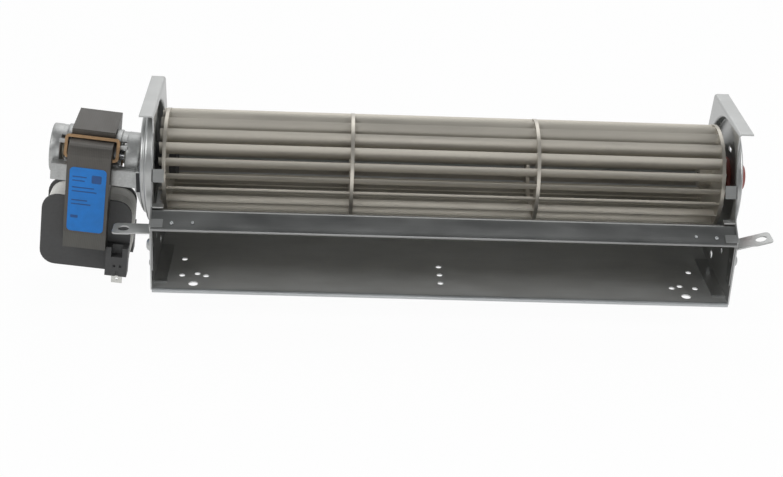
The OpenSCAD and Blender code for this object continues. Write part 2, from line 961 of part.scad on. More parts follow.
module mount_clips() {
  color(galv)
    for (s = [-1, 1])
      clip_frame(s)
        difference() {
          union() {
            translate([0, clip_y1 - clip_y0, 0])
              rotate([90, 0, 0])
                linear_extrude(height = clip_y1 - clip_y0)
                  difference() {
                    polygon([[clip_x1, clip_z1], [clip_x0 + 1, clip_z1], [clip_x0 + 0.3, clip_z1 - 0.3],
                      [clip_x0, clip_z1 - 1], [clip_x0, clip_z0 + 1], [clip_x0 + 0.3, clip_z0 + 0.3],
                      [clip_x0 + 1, clip_z0], [clip_x1, clip_z0]]);
                    translate([clip_x0 + t, clip_z0 + t])
                      square([10, clip_z1 - clip_z0 - 2 * t]);
                  }
            // foot above, riveted to the cup
            translate([clip_x1 - t, 0, clip_z1 - t])
              cube([t, clip_y1 - clip_y0, 7]);
            // gusset below
            translate([0, s > 0 ? clip_y1 - clip_y0 : 1, 0])
              rotate([90, 0, 0])
                linear_extrude(height = 1)
                  polygon([[clip_x0 + 0.6, clip_z0 + 0.4], [clip_x1, clip_z0 + 0.4], [clip_x1, clip_z0 - 9]]);
          }
          translate([clip_x1 - 3, (clip_y1 - clip_y0) / 2, clip_z1 + 3])
            rotate([0, 90, 0])
              cylinder(r = rivet_r, h = 6, $fn = 24);
        }
}

module isolators() {
  color([0.12, 0.12, 0.11])
    for (s = [-1, 1])
      clip_frame(s)
        translate([clip_x0 + t, 0, clip_z0 + t])
          cube([clip_x1 - clip_x0 - t, clip_y1 - clip_y0, clip_z1 - clip_z0 - 2 * t]);
}

module clip_rivets() {
  color(steel)
    for (s = [-1, 1])
      clip_frame(s)
        translate([0, (clip_y1 - clip_y0) / 2, clip_z1 + 3])
          rotate([0, 90, 0]) {
            translate([0, 0, clip_x1 - t])
              cylinder(r = rivet_r, h = 2 * t, $fn = 24);
            translate([0, 0, clip_x1 - t - 1])
              cylinder(r1 = 1.8, r2 = 2.8, h = 1, $fn = 24);
            translate([0, 0, clip_x1 + t])
              cylinder(r = 2.4, h = 0.6, $fn = 24);
          }
}

end_plate_left();
end_plate_right();
scroll();
tongue();
plate_rivets();
blades();
support_rings();
drive_disc();
bearing_disc();
stub_shaft();
drive_hub();
drive_ball();
bearing_rubber();
bearing_sleeve();
core_frame();
core_yoke();
bobbin();
winding();
coil_tape();
shading_rings();
bracket_left();
bracket_right();
motor_bearings();
oil_felts();
through_screws();
rotor_core();
rotor_cage();
rotor_shaft();
thrust_washers();
terminals();
label();
isolators();
mount_clips();
clip_rivets();
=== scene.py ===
"""Looks for a range blower: a long bladed impeller in a sheet metal housing, with its hanging motor."""

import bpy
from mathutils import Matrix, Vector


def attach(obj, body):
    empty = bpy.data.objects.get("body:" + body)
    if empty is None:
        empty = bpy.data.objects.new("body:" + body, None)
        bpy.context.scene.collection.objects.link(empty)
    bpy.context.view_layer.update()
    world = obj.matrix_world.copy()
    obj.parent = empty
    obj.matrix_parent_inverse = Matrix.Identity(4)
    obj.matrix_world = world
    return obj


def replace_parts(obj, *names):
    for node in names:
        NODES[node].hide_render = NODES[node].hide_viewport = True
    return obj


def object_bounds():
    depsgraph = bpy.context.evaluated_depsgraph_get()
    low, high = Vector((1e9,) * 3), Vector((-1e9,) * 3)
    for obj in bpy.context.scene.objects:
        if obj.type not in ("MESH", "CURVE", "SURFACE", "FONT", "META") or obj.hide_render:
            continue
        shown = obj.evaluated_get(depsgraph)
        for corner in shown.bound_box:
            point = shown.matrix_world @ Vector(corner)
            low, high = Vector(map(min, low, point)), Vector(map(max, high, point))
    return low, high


bl_info = {
    "name": "Range Blower",
    "version": (1, 0, 0),
    "blender": (4, 5, 0),
    "location": "3D View > Sidebar > Blower",
    "description": "Finishes and fine detail for a range blower on its packed CAD frame",
    "category": "Object",
}

import math

import bmesh
import bpy
from mathutils import Matrix, Vector

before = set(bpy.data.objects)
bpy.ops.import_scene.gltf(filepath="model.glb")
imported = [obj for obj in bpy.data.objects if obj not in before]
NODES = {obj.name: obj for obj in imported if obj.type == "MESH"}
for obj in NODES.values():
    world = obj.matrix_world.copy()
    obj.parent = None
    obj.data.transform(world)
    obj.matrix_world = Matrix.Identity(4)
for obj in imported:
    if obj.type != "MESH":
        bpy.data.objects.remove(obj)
cad_low, cad_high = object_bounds()

# meshes are drawn in millimetres and scaled by this when they are finished
MM = 0.001

# sizes and places in millimetres, as in the solids' source, but for TONGUE_LOW, the bumps
# and the right end of BLADE_ENDS, which belong to the detail made here
AXIS_H = 55.6
HALF_W = 164.0
SHEET = 0.8
TILT = math.radians(5.6)
MOTOR = Matrix.Translation((-160.0, 0.0, AXIS_H)) @ Matrix.Rotation(TILT, 4, "Y")
MOTOR = MOTOR @ Matrix.Translation((-42.2, 0, 0))
FRONT_Y = -56.0
# the ears' holes are mounts, so the ears keep the source's sizes; a hole is given by its
# distance from the ear's end and its radius, and the lean in degrees by side
EAR_Y = (FRONT_Y - 1.6, FRONT_Y + 11.2)
EAR_Z = AXIS_H - 20.6
EAR_LENGTH = 21.0
EAR_HOLE = (5.8, 3.2)
EAR_LEAN = {-1: 0.0, 1: 17.0}
EDGE_TOP = Vector((0, -29.5, 84.8))
EDGE_LOW = Vector((0, -46.5, 47.3))
TONGUE_LOW = Vector((0, -57.0, 38.3))
TONGUE_TOP = Vector((0, -46.5, 45.2))
FLANGE_Z = 94.1
FLANGE_Y = (-28.7, 36.0)
BUMP_Y = -50.4
# height, radius and how far it stands proud, for each bump; a plug behind it fills its hole
BUMPS = ((25.7, 4.1, 2.2), (14.5, 2.5, 1.0))
PLUG_HOLE_R = 1.3
CUP_R = 35.0
CUP_BEND = 0.8
CUP_OUT = {-1: 8.0, 1: 4.0}
HOLE_R = 9.0
CLIP_X = -176.6
FAN_R = 30.0
BLADE_RI = 22.8
BLADE_T = 0.7
BLADES = 21
BLADE_TURN = math.radians(163.8)
BLADE_ANGLE = math.radians(26)
BLADE_ENDS = (-162.1, 160.6)
HALF_STACK = 12.25
SCREW = (16.5, -6.3)


def linear(code):
    """A hex sRGB colour as linear red, green, blue and alpha."""
    out = []
    for i in (1, 3, 5):
        c = int(code[i : i + 2], 16) / 255
        out.append(c / 12.92 if c <= 0.04045 else ((c + 0.055) / 1.055) ** 2.4)
    return (*out, 1.0)


# ---------------------------------------------------------------- properties


class BlowerSizes(bpy.types.PropertyGroup):
    """Sizes of the detail that is made here."""

    lamination: bpy.props.FloatProperty(
        name="Lamination",
        description="Thickness of one lamination of the core",
        default=0.65 * MM,
        subtype="DISTANCE",
        unit="LENGTH",
    )
    grain: bpy.props.FloatProperty(
        name="Rolling grain",
        description="Spacing of the fine lines that rolling leaves in the sheet",
        default=0.6 * MM,
        subtype="DISTANCE",
        unit="LENGTH",
    )
    edge: bpy.props.FloatProperty(
        name="Edge radius",
        description="Small round on sheared and moulded edges, drawn by the material",
        default=0.2 * MM,
        subtype="DISTANCE",
        unit="LENGTH",
    )
    tape: bpy.props.FloatProperty(
        name="Tape thickness",
        description="Thickness of one turn of the coil's cotton tape",
        default=0.2 * MM,
        subtype="DISTANCE",
        unit="LENGTH",
    )
    hem: bpy.props.FloatProperty(
        name="Hem radius",
        description="Radius of the rolled hem along the outlet",
        default=1.4 * MM,
        subtype="DISTANCE",
        unit="LENGTH",
    )
    arc_steps: bpy.props.IntProperty(
        name="Blade steps",
        description="Straight steps in the curve of one blade",
        default=12,
        min=4,
        max=32,
    )


# what every colour property has
COLOUR = {"subtype": "COLOR", "size": 4, "min": 0, "max": 1}


class BlowerColours(bpy.types.PropertyGroup):
    """Colours of the finishes."""

    zinc: bpy.props.FloatVectorProperty(
        name="Galvanised sheet", description="Zinc coat on the housing", default=linear("#b0b1b0"), **COLOUR
    )
    impeller: bpy.props.FloatVectorProperty(
        name="Impeller sheet", description="Sheet of blades and rings", default=linear("#c0bbb1"), **COLOUR
    )
    lamination: bpy.props.FloatVectorProperty(
        name="Lamination steel", description="Oxide coat of the core", default=linear("#56534f"), **COLOUR
    )
    casting: bpy.props.FloatVectorProperty(
        name="Die casting", description="Zinc casting of the brackets", default=linear("#b2b3b2"), **COLOUR
    )
    bobbin: bpy.props.FloatVectorProperty(
        name="Bobbin plastic", description="Glass filled nylon", default=linear("#464646"), **COLOUR
    )
    tape: bpy.props.FloatVectorProperty(
        name="Coil tape", description="Woven tape round the coil", default=linear("#f2f0ea"), **COLOUR
    )
    label: bpy.props.FloatVectorProperty(
        name="Label", description="Printed film on the core", default=linear("#0073c6"), **COLOUR
    )
    copper: bpy.props.FloatVectorProperty(
        name="Copper", description="Shading rings", default=linear("#b0906e"), **COLOUR
    )


# ---------------------------------------------------------------- node helpers


def add(tree, kind, sockets=None, **settings):
    """Adds a node with its settings; sockets gives its inputs a value or links them to an output."""
    node = tree.nodes.new(kind)
    for key, value in settings.items():
        setattr(node, key, value)
    for key, value in (sockets or {}).items():
        if isinstance(value, bpy.types.NodeSocket):
            tree.links.new(value, node.inputs[key])
        else:
            node.inputs[key].default_value = value
    return node.outputs


def surface(name, colour, metallic, roughness, cloud, fine=None, bands=None, **look):
    """A finish with soft clouds and a fine pattern, of sizes in metres, in its colour, gloss and relief."""
    mat = bpy.data.materials.new(name)
    mat.use_nodes = True
    mat.diffuse_color = colour
    tree = mat.node_tree
    shader = tree.nodes["Principled BSDF"]
    shader.inputs["Metallic"].default_value = metallic
    place = add(tree, "ShaderNodeTexCoord")["Object"]
    if "turn" in look:
        place = add(tree, "ShaderNodeMapping", {"Vector": place, "Rotation": (0, look["turn"], 0)})["Vector"]
    spread = add(tree, "ShaderNodeMapping", {"Vector": place, "Scale": [1 / s for s in cloud]})["Vector"]
    soft = {"Vector": spread, "Scale": 1.0, "Detail": 4.0, "Roughness": 0.55}
    clouds = add(tree, "ShaderNodeTexNoise", soft)["Fac"]
    scale = [1 / s for s in fine or cloud]
    narrow = add(tree, "ShaderNodeMapping", {"Vector": place, "Scale": scale})["Vector"]
    if bands:
        wave = {"Vector": narrow, "Scale": 1.0, "Distortion": look.get("waver", 0.0)}
        waves = [add(tree, "ShaderNodeTexWave", wave, bands_direction=way)["Fac"] for way in bands]
        pattern = waves[0]
        for other in waves[1:]:
            pattern = add(tree, "ShaderNodeMath", {0: pattern, 1: other}, operation="MULTIPLY")[0]
    else:
        pattern = add(tree, "ShaderNodeTexNoise", {"Vector": narrow, "Scale": 1.0, "Detail": 2.0})["Fac"]
    dark, light = look.get("shades", (0.88, 1.1))
    both = add(tree, "ShaderNodeMix", {0: look.get("share", 0.4), 2: clouds, 3: pattern})[0]
    stretched = add(tree, "ShaderNodeMapRange", {"Value": both, "From Min": 0.25, "From Max": 0.75})["Result"]
    tones = [tuple(min(1.0, c * k) for c in colour[:3]) + (1.0,) for k in (dark, light)]
    mixed = add(tree, "ShaderNodeMix", {0: stretched, 6: tones[0], 7: tones[1]}, data_type="RGBA")[2]
    tree.links.new(mixed, shader.inputs["Base Color"])
    swing = look.get("swing", 0.15)
    least, most = roughness * (1 - swing), min(1.0, roughness * (1 + swing))
    spans = {"Value": clouds, "From Min": 0.3, "From Max": 0.7, "To Min": least, "To Max": most}
    tree.links.new(add(tree, "ShaderNodeMapRange", spans)["Result"], shader.inputs["Roughness"])
    relief = {"Height": pattern, "Strength": look.get("bump", 0.1), "Distance": 0.1 * MM}
    if look.get("edge"):
        relief["Normal"] = add(tree, "ShaderNodeBevel", {"Radius": look["edge"]}, samples=4)["Normal"]
    tree.links.new(add(tree, "ShaderNodeBump", relief)["Normal"], shader.inputs["Normal"])
    return mat


# ---------------------------------------------------------------- mesh helpers


def put(material, *names):
    """Gives CAD nodes a material."""
    for name in names:
        mesh = NODES[name].data
        mesh.materials.clear()
        mesh.materials.append(material)


def line(mesh, points, bend=0.0, close=False, steps=6):
    """Edges through the points; bend rounds all corners by one length, or numbered ones by their own."""
    old = set(mesh.edges)
    verts = [mesh.verts.new(p) for p in points]
    for pair in zip(verts, verts[1:] + verts[: int(close)]):
        mesh.edges.new(pair)
    end = 0 if close else 1
    rounds = bend if isinstance(bend, dict) else {i: bend for i in range(end, len(points) - end)}
    for i, size in rounds.items():
        if size:
            bmesh.ops.bevel(
                mesh,
                geom=[verts[i]],
                offset=size,
                offset_type="OFFSET",
                affect="VERTICES",
                segments=steps,
                profile=0.5,
                material=-1,
            )
    return [edge for edge in mesh.edges if edge not in old]


def circle(mesh, centre, radius, axis=(1, 0, 0), steps=32):
    """The edges of a circle."""
    turn = Vector((0, 0, 1)).rotation_difference(Vector(axis)).to_matrix().to_4x4()
    place = Matrix.Translation(centre) @ turn
    old = set(mesh.edges)
    bmesh.ops.create_circle(mesh, cap_ends=False, segments=steps, radius=radius, matrix=place)
    return [edge for edge in mesh.edges if edge not in old]


def corners(edges):
    """The vertices of some edges."""
    return list({vert for edge in edges for vert in edge.verts})


def sheet(mesh, loops, depth):
    """A flat sheet, pushed out by depth: the first loop of edges is its outline, the others are its holes."""
    depth = Vector(depth)
    out = bmesh.ops.triangle_fill(
        mesh, use_beauty=True, edges=[edge for loop in loops for edge in loop], normal=depth.normalized()
    )
    faces = [item for item in out["geom"] if isinstance(item, bmesh.types.BMFace)]
    out = bmesh.ops.extrude_face_region(mesh, geom=faces)
    moved = [item for item in out["geom"] if isinstance(item, bmesh.types.BMVert)]
    bmesh.ops.translate(mesh, verts=moved, vec=depth)
    return corners([edge for loop in loops for edge in loop]) + moved


def folded(mesh, edges, along, side=None, thickness=SHEET):
    """Bent sheet: a line of edges run along a vector and thickened towards side, or outwards."""
    old = set(mesh.faces)
    out = bmesh.ops.extrude_edge_only(mesh, edges=edges)
    moved = [item for item in out["geom"] if isinstance(item, bmesh.types.BMVert)]
    bmesh.ops.translate(mesh, verts=moved, vec=along)
    faces = [face for face in mesh.faces if face not in old]
    bmesh.ops.recalc_face_normals(mesh, faces=faces)
    mesh.normal_update()
    widest = max(faces, key=lambda face: face.calc_area())
    if side is None or widest.normal.dot(Vector(side)) > 0:
        bmesh.ops.reverse_faces(mesh, faces=faces)
    mesh.normal_update()
    bmesh.ops.solidify(mesh, geom=faces, thickness=thickness)


def turned(mesh, edges, centre, axis=(1, 0, 0), steps=48, angle=math.tau):
    """A line of edges turned round an axis; less than a full turn is capped at both ends."""
    full = angle == math.tau
    old = set(mesh.verts) - set(corners(edges))
    out = bmesh.ops.spin(
        mesh,
        geom=corners(edges) + edges,
        cent=centre,
        axis=axis,
        dvec=(0, 0, 0),
        angle=angle,
        steps=steps,
        use_merge=full,
        use_normal_flip=False,
        use_duplicate=False,
    )
    if not full:
        last = [item for item in out["geom_last"] if isinstance(item, bmesh.types.BMEdge)]
        for rim in (edges, last):
            bmesh.ops.edgeloop_fill(mesh, edges=rim)
    # only its own vertices are merged, because touching pieces of one mesh stay closed by themselves
    own = [vert for vert in mesh.verts if vert not in old]
    bmesh.ops.remove_doubles(mesh, verts=own, dist=1e-4)


def block(mesh, low, high, bevel=0.0):
    """A block between two corners, its edges broken by bevel."""
    low, high = Vector(low), Vector(high)
    place = Matrix.Translation((low + high) / 2) @ Matrix.Diagonal((*(high - low), 1))
    verts = bmesh.ops.create_cube(mesh, size=1, matrix=place)["verts"]
    if bevel:
        edges = list({edge for vert in verts for edge in vert.link_edges})
        bmesh.ops.bevel(mesh, geom=edges, offset=bevel, affect="EDGES", segments=2, profile=0.5, material=-1)
        return []
    return verts


def moved_by(matrix, verts, mesh):
    """Places some vertices."""
    bmesh.ops.transform(mesh, matrix=matrix, verts=verts)


def make(name, mesh, material, body, matrix=None, sharp=35):
    """A new piece from a mesh in millimetres, smooth but for its sharp edges, riding on a body."""
    bmesh.ops.transform(mesh, matrix=Matrix.Scale(MM, 4) @ (matrix or Matrix()), verts=mesh.verts)
    bmesh.ops.recalc_face_normals(mesh, faces=mesh.faces)
    for face in mesh.faces:
        face.smooth = True
    for edge in mesh.edges:
        if len(edge.link_faces) == 2 and edge.calc_face_angle() > math.radians(sharp):
            edge.smooth = False
    data = bpy.data.meshes.new(name)
    mesh.to_mesh(data)
    mesh.free()
    obj = bpy.data.objects.new(name, data)
    bpy.context.scene.collection.objects.link(obj)
    data.materials.append(material)
    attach(obj, body)
    return obj


# ---------------------------------------------------------------- materials


def galvanised_sheet(name, metallic, roughness, painted_light_scale=1.0):
    """Rolled steel with a bright zinc coat."""
    # a satin metal that mirrors the room softly, with faint streaks along the rolling direction
    sizes = bpy.context.scene.blower_sizes
    # a scale above 1 brightens the zinc colour as painted light, below 1 darkens it as painted shade
    colour = tuple(c * painted_light_scale for c in bpy.context.scene.blower_colours.zinc[:3]) + (1.0,)
    cloud = (0.03, 0.012, 0.012)
    grain = (80 * MM, sizes.grain, sizes.grain)
    return surface(name, colour, metallic, roughness, cloud, grain, share=0.25, bump=0.015, edge=sizes.edge)


def burnished_hem():
    """Zinc coat rubbed smooth where the press rolled the sheet."""
    # an even mid grey with a soft shine, and small rubbed patches along the edge
    cloud, rubbed = (0.02, 0.002, 0.002), (0.004, 0.001, 0.001)
    return surface("burnished hem", linear("#b4b7b8"), 0.8, 0.45, cloud, rubbed, bump=0.05)


def impeller_sheet(name, colour, roughness):
    """Thin aluminised sheet, bare."""
    # slightly warm dull metal with faint streaks along the blade
    cloud, streaks = (0.08, 0.03, 0.03), (0.12, 0.002, 0.002)
    return surface(name, colour, 0.75, roughness, cloud, streaks, share=0.3, shades=(0.9, 1.06), bump=0.02)


def lamination_steel(name, colour, light):
    """Stack of punched silicon steel with a steam blued coat."""
    # dark grey and nearly matt; the edges of the stack show fine lines along the shaft,
    # drawn 1.3 mm apart, twice as coarse as the real ones, so that they show
    sizes = bpy.context.scene.blower_sizes
    cloud, lines = (0.006, 0.014, 0.014), (sizes.lamination * math.tau, 1, 1)
    look = {"turn": TILT, "share": 0.12, "shades": (0.82, light), "bump": 0.12, "edge": sizes.edge}
    return surface(name, colour, 0.35, 0.5, cloud, lines, "X", **look)


def die_casting():
    """Bare pressure die casting."""
    # grey, slightly grainy skin with a soft sheen and uneven patches
    colour = tuple(bpy.context.scene.blower_colours.casting)
    look = {"shades": (0.72, 1.12), "bump": 0.3, "edge": bpy.context.scene.blower_sizes.edge * 2}
    return surface("die casting", colour, 0.7, 0.42, (0.007,) * 3, (0.0012,) * 3, **look)


def moulded(name, colour, roughness, grain):
    """Moulded plastic or rubber, or a printed film."""
    # even colour with a fine moulded grain
    look = {"shades": (0.86, 1.14), "swing": 0.1, "bump": 0.12, "edge": bpy.context.scene.blower_sizes.edge}
    return surface(name, colour, 0.0, roughness, (0.01,) * 3, (grain,) * 3, **look)


def woven_tape(name, colour):
    """Cotton tape or felt: threads 0.5 mm apart, drawn 1 mm apart so that they show."""
    # matt off-white cloth with a fine weave and a little soiling
    look = {"waver": 0.4, "share": 0.15, "shades": (0.88, 1.02), "bump": 0.3}
    return surface(name, colour, 0.0, 0.85, (0.006,) * 3, (math.pi * MM,) * 3, "YZ", **look)


def bright_metal(name, colour, roughness, metallic=1.0):
    """Turned, plated or drawn metal."""
    # clean metal with a little unevenness in its gloss
    look = {"shades": (0.84, 1.1), "swing": 0.2, "bump": 0.05, "edge": bpy.context.scene.blower_sizes.edge}
    return surface(name, colour, metallic, roughness, (0.004,) * 3, (0.001,) * 3, **look)


# ---------------------------------------------------------------- operators


class BLOWER_OT_view(bpy.types.Operator):
    """Sets the camera where the photograph was taken from"""

    bl_idname = "blower.view"
    bl_label = "Camera"

    def execute(self, context):
        elevation = math.radians(25.59)
        yaw = math.radians(2.69)
        roll = math.radians(2.77)
        turn = Matrix.Rotation(-yaw, 3, "Z")
        right = turn @ Vector((1, 0, 0))
        ahead = turn @ Vector((0, math.cos(elevation), -math.sin(elevation)))
        up = turn @ Vector((0, math.sin(elevation), math.cos(elevation)))
        x = right * math.cos(roll) + up * math.sin(roll)
        y = up * math.cos(roll) - right * math.sin(roll)
        place = Matrix((x, y, -ahead)).transposed().to_4x4()
        place.translation = Vector((-68.65, -826.74, 411.60)) * MM
        data = bpy.data.cameras.new("camera")
        data.lens = 70.76
        data.sensor_width = 36.0
        data.shift_x = 0.0042
        data.shift_y = -0.01215
        data.clip_start = 0.01
        data.clip_end = 50
        camera = bpy.data.objects.new("camera", data)
        camera.matrix_world = place
        context.scene.collection.objects.link(camera)
        context.scene.camera = camera
        return {"FINISHED"}


class BLOWER_OT_stage(bpy.types.Operator):
    """Adds the pale floor, the white surroundings and soft studio light"""

    bl_idname = "blower.stage"
    bl_label = "Stage"

    def execute(self, context):
        scene = context.scene
        scene.view_settings.view_transform = "Standard"
        # floor, just below the lowest point of the motor
        mesh = bmesh.new()
        bmesh.ops.create_grid(mesh, x_segments=1, y_segments=1, size=6)
        bmesh.ops.translate(mesh, verts=mesh.verts, vec=(0, 0, cad_low.z - 0.0005))
        data = bpy.data.meshes.new("floor")
        mesh.to_mesh(data)
        mesh.free()
        floor = bpy.data.objects.new("floor", data)
        scene.collection.objects.link(floor)
        mat = bpy.data.materials.new("white paper sweep")
        mat.use_nodes = True
        tree = mat.node_tree
        tree.nodes.clear()
        path = add(tree, "ShaderNodeLightPath")
        rays = {0: path["Is Camera Ray"], 1: path["Is Glossy Ray"]}
        seen = add(tree, "ShaderNodeMath", rays, operation="MAXIMUM")[0]
        seen = add(tree, "ShaderNodeMath", {0: seen, 1: path["Is Transmission Ray"]}, operation="MAXIMUM")[0]
        # the camera sees nearly plain white, with a trace of the shadows left in it
        whiteness = 0.96
        share = add(tree, "ShaderNodeMath", {0: seen, 1: whiteness}, operation="MULTIPLY")[0]
        paper = add(tree, "ShaderNodeBsdfDiffuse", {"Color": linear("#f4f4f4")})[0]
        white = add(tree, "ShaderNodeEmission", {"Color": (1, 1, 1, 1), "Strength": 1.0})[0]
        both = add(tree, "ShaderNodeMixShader", {0: share, 1: paper, 2: white})[0]
        add(tree, "ShaderNodeOutputMaterial", {"Surface": both})
        data.materials.append(mat)
        # surroundings: a white backdrop behind, for the camera and for metal,
        # and for the light a room that is darker in front and overhead
        world = bpy.data.worlds.new("studio")
        scene.world = world
        world.use_nodes = True
        tree = world.node_tree
        tree.nodes.clear()
        way = add(tree, "ShaderNodeSeparateXYZ", {0: add(tree, "ShaderNodeTexCoord")["Generated"]})
        back = {"Value": way["Y"], "From Min": -0.5, "From Max": 0.6, "To Min": 0.2, "To Max": 0.9}
        back = add(tree, "ShaderNodeMapRange", back)["Result"]
        top = {"Value": way["Z"], "From Min": 0.35, "From Max": 0.9, "To Min": 1.0, "To Max": 0.28}
        top = add(tree, "ShaderNodeMapRange", top)["Result"]
        level = add(tree, "ShaderNodeMath", {0: back, 1: top}, operation="MULTIPLY")[0]
        room = add(tree, "ShaderNodeBackground", {"Color": linear("#f4f8fa"), "Strength": level})[0]
        white = add(tree, "ShaderNodeBackground", {"Color": (1, 1, 1, 1), "Strength": 1.0})[0]
        path = add(tree, "ShaderNodeLightPath")
        # the backdrop's edges, as parts of a unit vector: how far back it starts, how high it ends
        backdrop_y, backdrop_z = 0.6, 0.58
        behind = add(tree, "ShaderNodeMath", {0: way["Y"], 1: backdrop_y}, operation="GREATER_THAN")[0]
        low = add(tree, "ShaderNodeMath", {0: way["Z"], 1: backdrop_z}, operation="LESS_THAN")[0]
        backdrop = add(tree, "ShaderNodeMath", {0: behind, 1: low}, operation="MULTIPLY")[0]
        rays = {0: path["Is Glossy Ray"], 1: path["Is Transmission Ray"]}
        metal = add(tree, "ShaderNodeMath", rays, operation="MAXIMUM")[0]
        metal = add(tree, "ShaderNodeMath", {0: metal, 1: backdrop}, operation="MULTIPLY")[0]
        seen = add(tree, "ShaderNodeMath", {0: path["Is Camera Ray"], 1: metal}, operation="MAXIMUM")[0]
        both = add(tree, "ShaderNodeMixShader", {0: seen, 1: room, 2: white})[0]
        add(tree, "ShaderNodeOutputWorld", {"Surface": both})
        # lamps: broad ones from both sides, one low in front and one over the back
        for name, place, size, power in (
            ("left softbox", (-0.9, -0.7, 0.9), 0.7, 6.5),
            ("right softbox", (1.1, -0.5, 0.8), 0.7, 6.5),
            ("front softbox", (0.0, -1.2, 0.12), 0.5, 2.2),
            ("back softbox", (0.1, 0.8, 1.2), 1.1, 7),
        ):
            light = bpy.data.lights.new(name, "AREA")
            light.shape = "SQUARE"
            light.size = size
            light.energy = power
            lamp = bpy.data.objects.new(name, light)
            lamp.location = place
            aim = Vector((0, 0, 0.04)) - Vector(place)
            lamp.rotation_euler = aim.to_track_quat("-Z", "Y").to_euler()
            scene.collection.objects.link(lamp)
        return {"FINISHED"}


def cup_wall(mesh, radius, start, end):
    """The drawn wall of a cup, from the sheet at depth start to the sheet at depth end, with round bends."""
    out, bend = radius + SHEET, CUP_BEND
    section = (
        (out + bend, start),
        (radius, start),
        (radius, end),
        (radius - bend, end),
        (radius - bend, end + SHEET),
        (out, end + SHEET),
        (out, start + SHEET),
        (out + bend, start + SHEET),
    )
    points = [(HALF_W + x, 0, AXIS_H + r) for r, x in section]
    # two rounds stop just short of the next corner
    rounds = {1: bend + SHEET, 2: bend, 5: bend + SHEET - 0.01, 6: bend - 0.01}
    edges = line(mesh, points, rounds, close=True)
    turned(mesh, edges, (0, 0, AXIS_H), steps=96)


def end_plate(steps, slots, lean):
    """The right end plate with its cup, flange, tabs, foot and ear; lean bends the ear up, in degrees."""
    mesh = bmesh.new()
    through = (SHEET, 0, 0)
    # flat of the plate, with its rounded rear corner, and the holes in it
    outline = (
        (FRONT_Y, 0),
        (46.2, 0),
        (46.2, 41.2),
        (45.0, 52.0),
        (41.5, 66.0),
        (FLANGE_Y[1], FLANGE_Z - SHEET - 1),
        (FLANGE_Y[0], FLANGE_Z - SHEET - 1),
        EDGE_TOP.yz,
        EDGE_LOW.yz,
        (TONGUE_LOW.y, TONGUE_LOW.z + 2.2),
        (FRONT_Y, TONGUE_LOW.z - 0.2),
    )
    points = [(HALF_W, y, z) for y, z in outline]
    loops = [line(mesh, points, {1: 41.1, 7: 0.8, 8: 0.8}, close=True, steps=24)]
    mouth = CUP_R + SHEET + CUP_BEND
    loops.append(circle(mesh, (HALF_W, 0, AXIS_H), mouth, steps=96))
    holes = [(BUMP_Y, z, PLUG_HOLE_R) for z, radius, proud in BUMPS] + [(-7.5, 8.1, 2.4), (-28.0, 20.6, 1.6)]
    for y, z, r in holes:
        loops.append(circle(mesh, (HALF_W, y, z), r, steps=24))
    sheet(mesh, loops, through)
    # the cup: its walls, the flat rings between them and its floor with two slots
    depth, inner = 0.0, mouth
    for radius, out in steps:
        if depth:
            rims = (inner, radius + SHEET + CUP_BEND)
            sheet(mesh, [circle(mesh, (HALF_W + depth, 0, AXIS_H), r, steps=96) for r in rims], through)
        cup_wall(mesh, radius, depth, out)
        depth, inner = out, radius - CUP_BEND
    loops = [circle(mesh, (HALF_W + depth, 0, AXIS_H), r, steps=96) for r in (inner, HOLE_R)]
    for low, high in slots:
        corner = [(-3, low), (3, low), (3, high), (-3, high)]
        points = [(HALF_W + depth, y, AXIS_H + z) for y, z in corner]
        loops.append(line(mesh, points, 0.4, close=True, steps=3))
    sheet(mesh, loops, through)
    # flange along the top, with a round bend
    fold = ((HALF_W, FLANGE_Z - 1.8), (HALF_W, FLANGE_Z), (HALF_W + 8.3, FLANGE_Z))
    edges = line(mesh, [(x, FLANGE_Y[0], z) for x, z in fold], 1.75)
    folded(mesh, edges, (0, FLANGE_Y[1] - FLANGE_Y[0], 0), (0, 0, -1))
    # tabs bent inwards: one on the sloped edge, one on the tongue, one above its fold;
    # and the foot on the floor
    slope = (EDGE_LOW - EDGE_TOP).normalized()
    turn = Matrix.Rotation(math.atan2(-slope.z, -slope.y), 4, "X")
    verts = block(mesh, (HALF_W - 6, -3.7, -SHEET), (HALF_W + SHEET, 3.7, 0))
    moved_by(Matrix.Translation(EDGE_TOP + slope * 24) @ turn, verts, mesh)
    rise = TONGUE_TOP - TONGUE_LOW
    verts = block(mesh, (HALF_W - 6.6, 0.8, SHEET), (HALF_W + SHEET, 5.8, 2 * SHEET))
    turn = Matrix.Rotation(math.atan2(rise.z, rise.y), 4, "X")
    moved_by(Matrix.Translation(TONGUE_LOW) @ turn, verts, mesh)
    low = (HALF_W - 6.2, EDGE_LOW.y - 0.3, EDGE_LOW.z - SHEET)
    block(mesh, low, (HALF_W + SHEET, EDGE_LOW.y + 3.9, EDGE_LOW.z))
    block(mesh, (HALF_W - 7.5, FRONT_Y + 8, SHEET), (HALF_W + 0.1, -1, 2 * SHEET))
    # ear: a neck, a slightly wider head and the screw hole
    (y0, y1), end = EAR_Y, EAR_LENGTH
    outline = [(0, y0 + 1), (end * 0.45, y0 + 1), (end * 0.55, y0), (end, y0), (end, y1), (0, y1)]
    loops = [line(mesh, [(x, y, 0) for x, y in outline], {1: 0.8, 2: 0.8, 3: 2.0, 4: 2.6}, close=True)]
    loops.append(circle(mesh, (end - EAR_HOLE[0], (y0 + y1) / 2, 0), EAR_HOLE[1], (0, 0, 1), 40))
    verts = sheet(mesh, loops, (0, 0, SHEET))
    turn = Matrix.Rotation(-math.radians(lean), 4, "Y")
    moved_by(Matrix.Translation((HALF_W + SHEET / 2, 0, EAR_Z)) @ turn, verts, mesh)
    return mesh


